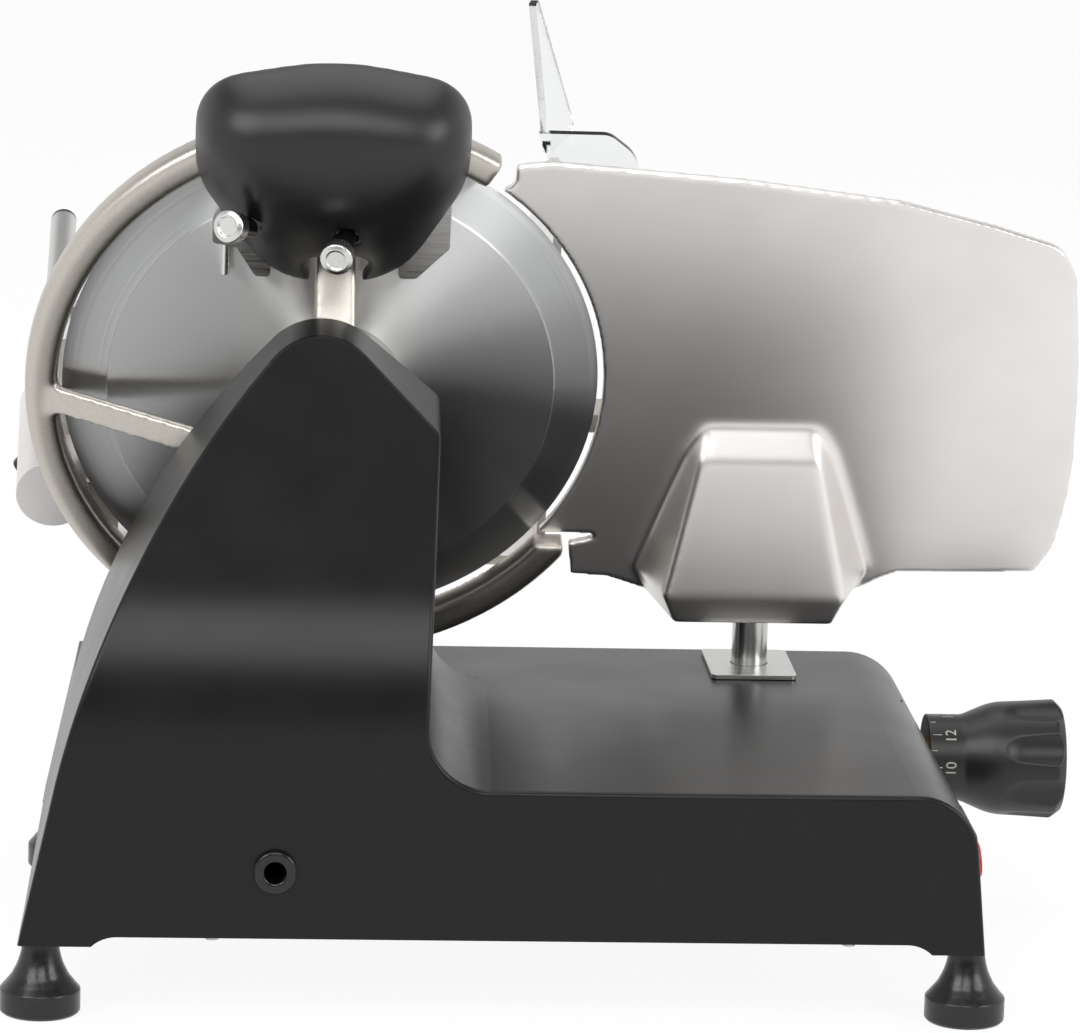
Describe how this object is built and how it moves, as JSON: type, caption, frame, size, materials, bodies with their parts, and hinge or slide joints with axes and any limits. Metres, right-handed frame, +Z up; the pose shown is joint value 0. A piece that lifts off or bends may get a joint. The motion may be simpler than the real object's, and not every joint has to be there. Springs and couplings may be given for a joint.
{
  "type": "electric meat slicer",
  "caption": "Gravity-feed electric slicer: leaning round blade in a ring guard, adjustable gauge plate, sliding food carriage with pusher, and domed sharpener.",
  "frame": {"origin": "on the plane the feet stand on, near the middle of the base casting's footprint", "axes": "+Z up, +X towards the thickness knob on the right as the picture shows it, +Y away from the viewer towards the food carriage"},
  "size_m": [0.5014, 0.4369, 0.4312],
  "materials": {
    "black_casting": "matt stove-enamelled die casting",
    "cast_aluminium": "fine cast, brushed and anodised",
    "blade_steel": "mirror polished",
    "ground_steel": "ground and polished",
    "stainless_sheet": "brushed sheet",
    "black_plastic": "satin moulded",
    "gloss_black": "glossy moulded",
    "clear_plastic": "clear polished sheet",
    "rubber": "matt moulded",
    "drive_rubber": "ribbed belt",
    "button_start": "moulded push cap",
    "button_stop": "moulded push cap",
    "bronze": "sintered bush",
    "plated_screws": "zinc plated",
    "motor_steel": "pressed and painted",
    "laminations": "stacked steel with windings",
    "polished_cap": "turned and polished",
    "stone_grit": "bonded abrasive"
  },
  "bodies": {
    "machine": {"base_casting": "black_casting", "base_screws": "plated_screws", "blade_cover": "stainless_sheet", "blade_guard_ring": "cast_aluminium", "bottom_cover": "stainless_sheet", "cable_gland": "gloss_black", "carriage_mounts": "cast_aluminium", "carriage_rod": "ground_steel", "drive_belt": "drive_rubber", "feet": "rubber", "gauge_guide_rods": "ground_steel", "knob_bushing": "bronze", "motor_capacitor": "black_plastic", "motor_end_cap": "motor_steel", "motor_housing": "motor_steel", "motor_stator": "laminations", "sharpener_body": "cast_aluminium", "sharpener_cover": "black_plastic", "sharpener_lock_pin": "polished_cap", "spindle_axle": "ground_steel", "spindle_fasteners": "plated_screws", "switch_bezel": "black_plastic", "switch_block": "black_plastic", "tower_screws": "plated_screws"},
    "blade_rotor": {"blade": "blade_steel", "blade_hub": "cast_aluminium", "blade_screws": "plated_screws", "blade_bearings": "ground_steel", "driven_pulley": "black_plastic"},
    "motor_armature": {"motor_rotor": "laminations"},
    "gauge": {"gauge_plate": "cast_aluminium", "gauge_post": "ground_steel", "gauge_slide_block": "cast_aluminium", "gauge_slide_fittings": "bronze"},
    "gauge_slot_cover": {"slot_cover": "stainless_sheet"},
    "thickness_dial": {"thickness_knob": "gloss_black", "scroll_shaft": "black_plastic"},
    "start_key": {"start_button": "button_start"},
    "stop_key": {"stop_button": "button_stop"},
    "sharpen_key": {"sharpen_button": "polished_cap", "sharpen_button_stem": "gloss_black"},
    "sharpen_stone_slide": {"sharpening_stone": "stone_grit"},
    "deburr_key": {"deburr_button": "polished_cap", "deburr_button_stem": "gloss_black"},
    "deburr_stone_slide": {"deburring_stone": "stone_grit"},
    "carriage": {"carriage_shoe": "cast_aluminium", "shoe_bushes": "bronze", "food_table": "cast_aluminium", "table_fence": "cast_aluminium", "hand_guard": "clear_plastic", "carriage_handle": "black_plastic", "handle_bracket": "cast_aluminium", "pusher_rod": "ground_steel", "pusher_brackets": "cast_aluminium"},
    "pusher_collar": {"pusher_collar": "black_plastic"},
    "pusher": {"pusher_sleeve": "cast_aluminium", "pusher_bar": "ground_steel", "pusher_bar_cap": "gloss_black", "pusher_plate": "cast_aluminium", "pusher_lock_knob": "gloss_black"}
  },
  "joints": [
    {"name": "blade_spin", "type": "hinge", "parent": "machine", "child": "blade_rotor", "pos_m": [-0.076, 0.085, 0.2455], "axis": [0, -0.9483, -0.3173], "continuous": true},
    {"name": "motor_spin", "type": "hinge", "parent": "machine", "child": "motor_armature", "pos_m": [-0.121, 0.11356, 0.16015], "axis": [0, -0.9483, -0.3173], "continuous": true},
    {"name": "thickness_turn", "type": "hinge", "parent": "machine", "child": "thickness_dial", "pos_m": [0.2, 0.075, 0.0705], "axis": [1, 0, 0], "range_deg": [0, 345]},
    {"name": "gauge_slide", "type": "slide", "parent": "machine", "child": "gauge", "axis": [0, -0.9483, -0.3173], "range_m": [0, 0.016]},
    {"name": "slot_cover_slide", "type": "slide", "parent": "machine", "child": "gauge_slot_cover", "axis": [0, -1, 0], "range_m": [0, 0.01517]},
    {"name": "carriage_slide", "type": "slide", "parent": "machine", "child": "carriage", "axis": [1, 0, 0], "range_m": [0, 0.25]},
    {"name": "pusher_slide", "type": "slide", "parent": "carriage", "child": "pusher_collar", "axis": [0, 0.9483, 0.3173], "range_m": [0, 0.074]},
    {"name": "pusher_swing", "type": "hinge", "parent": "pusher_collar", "child": "pusher", "pos_m": [-0.205, 0.10594, 0.18291], "axis": [0, -0.9483, -0.3173], "range_deg": [0, 95]},
    {"name": "start_press", "type": "slide", "parent": "machine", "child": "start_key", "axis": [-0.9942, 0, -0.1075], "range_m": [0, 0.002], "stiffness_N_per_m": 400},
    {"name": "stop_press", "type": "slide", "parent": "machine", "child": "stop_key", "axis": [-0.9942, 0, -0.1075], "range_m": [0, 0.002], "stiffness_N_per_m": 400},
    {"name": "sharpen_press", "type": "slide", "parent": "machine", "child": "sharpen_key", "axis": [0.2092, 0.9446, 0.253], "range_m": [0, 0.004], "stiffness_N_per_m": 400},
    {"name": "sharpen_stone_feed", "type": "slide", "parent": "machine", "child": "sharpen_stone_slide", "axis": [0, 0.9483, 0.3173], "range_m": [0, 0.004]},
    {"name": "deburr_press", "type": "slide", "parent": "machine", "child": "deburr_key", "axis": [0.4719, 0.8638, -0.1768], "range_m": [0, 0.003], "stiffness_N_per_m": 400},
    {"name": "deburr_stone_feed", "type": "slide", "parent": "machine", "child": "deburr_stone_slide", "axis": [0, -0.9483, -0.3173], "range_m": [0, 0.003]}
  ],
  "couplings": [
    {"joint": "motor_spin", "follows": "blade_spin", "ratio": 2.2857},
    {"joint": "thickness_turn", "follows": "gauge_slide", "rad_per_m": 376.34},
    {"joint": "slot_cover_slide", "follows": "gauge_slide", "ratio": 0.9483},
    {"joint": "sharpen_stone_feed", "follows": "sharpen_press", "ratio": 1},
    {"joint": "deburr_stone_feed", "follows": "deburr_press", "ratio": 1}
  ]
}
